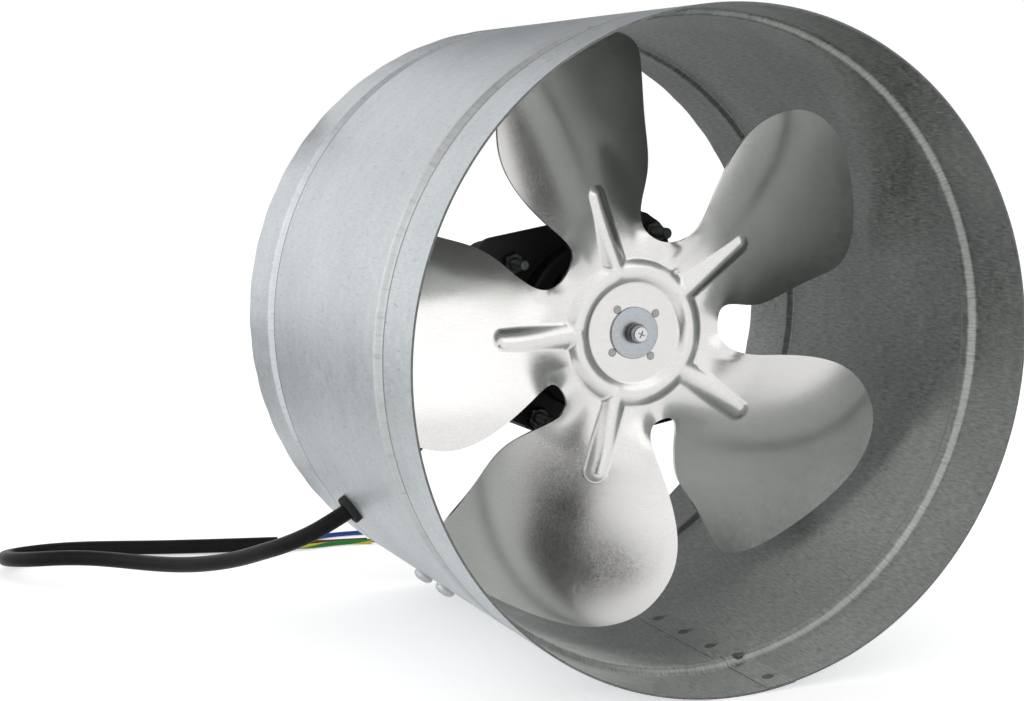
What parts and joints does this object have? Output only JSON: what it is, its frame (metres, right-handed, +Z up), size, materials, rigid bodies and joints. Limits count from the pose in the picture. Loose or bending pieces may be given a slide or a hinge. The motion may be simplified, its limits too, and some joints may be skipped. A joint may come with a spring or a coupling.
{
  "type": "inline duct fan",
  "caption": "Open sheet-metal duct tube with rolled-in beads, a bracketed motor inside that spins a pressed bladed impeller, and a short power lead through a rubber grommet.",
  "frame": {"origin": "on the floor under the middle of the tube, where the tube lies on its side", "axes": "+Y along the fan axis from the inlet, where the impeller shows, to the outlet; +Z up; +X to the right as seen from the inlet"},
  "size_m": [0.3474, 0.3208, 0.2498],
  "materials": {
    "galvanised_sheet": "satin galvanised with a fine mottle",
    "pressed_aluminium": "satin mill finish",
    "zinc_plate": "bright zinc plate",
    "black_paint": "semi-matt black",
    "lamination_steel": "dark laminated steel",
    "copper_enamel": "varnished copper winding",
    "sintered_bronze": "oiled sintered bronze",
    "ground_steel": "ground",
    "black_rubber": "matt",
    "cable_sheath": "soft sheen",
    "bare_copper": "bare stranded copper",
    "blue_insulation": "soft gloss",
    "brown_insulation": "soft gloss",
    "green_insulation": "soft gloss with a yellow stripe"
  },
  "bodies": {
    "housing": {"housing_shell": "galvanised_sheet", "motor_bracket": "black_paint", "bracket_screw_1": "zinc_plate", "bracket_screw_2": "zinc_plate", "bracket_screw_3": "zinc_plate", "bracket_screw_4": "zinc_plate", "bracket_nut_1": "zinc_plate", "bracket_nut_2": "zinc_plate", "bracket_nut_3": "zinc_plate", "bracket_nut_4": "zinc_plate", "motor_front_shield": "black_paint", "motor_rear_shield": "black_paint", "stator_core": "lamination_steel", "stator_coil_1": "copper_enamel", "stator_coil_2": "copper_enamel", "stator_coil_3": "copper_enamel", "stator_coil_4": "copper_enamel", "motor_bolt_1": "zinc_plate", "motor_bolt_2": "zinc_plate", "motor_bolt_3": "zinc_plate", "motor_bolt_4": "zinc_plate", "motor_nut_1": "zinc_plate", "motor_nut_2": "zinc_plate", "motor_nut_3": "zinc_plate", "motor_nut_4": "zinc_plate", "front_bearing": "sintered_bronze", "rear_bearing": "sintered_bronze", "cable_grommet": "black_rubber", "lead_bush": "black_rubber", "motor_lead": "cable_sheath", "power_cord": "cable_sheath", "core_blue": "blue_insulation", "core_brown": "brown_insulation", "core_earth": "green_insulation", "core_blue_copper": "bare_copper", "core_brown_copper": "bare_copper", "core_earth_copper": "bare_copper"},
    "rotor": {"fan_impeller": "pressed_aluminium", "impeller_washer": "zinc_plate", "spring_washer": "zinc_plate", "impeller_screw": "zinc_plate", "drive_hub": "zinc_plate", "motor_shaft": "ground_steel", "rotor_core": "lamination_steel"}
  },
  "joints": [
    {"name": "rotor_spin", "type": "hinge", "parent": "housing", "child": "rotor", "pos_m": [0, 0, 0.12488], "axis": [0, 1, 0], "continuous": true}
  ]
}
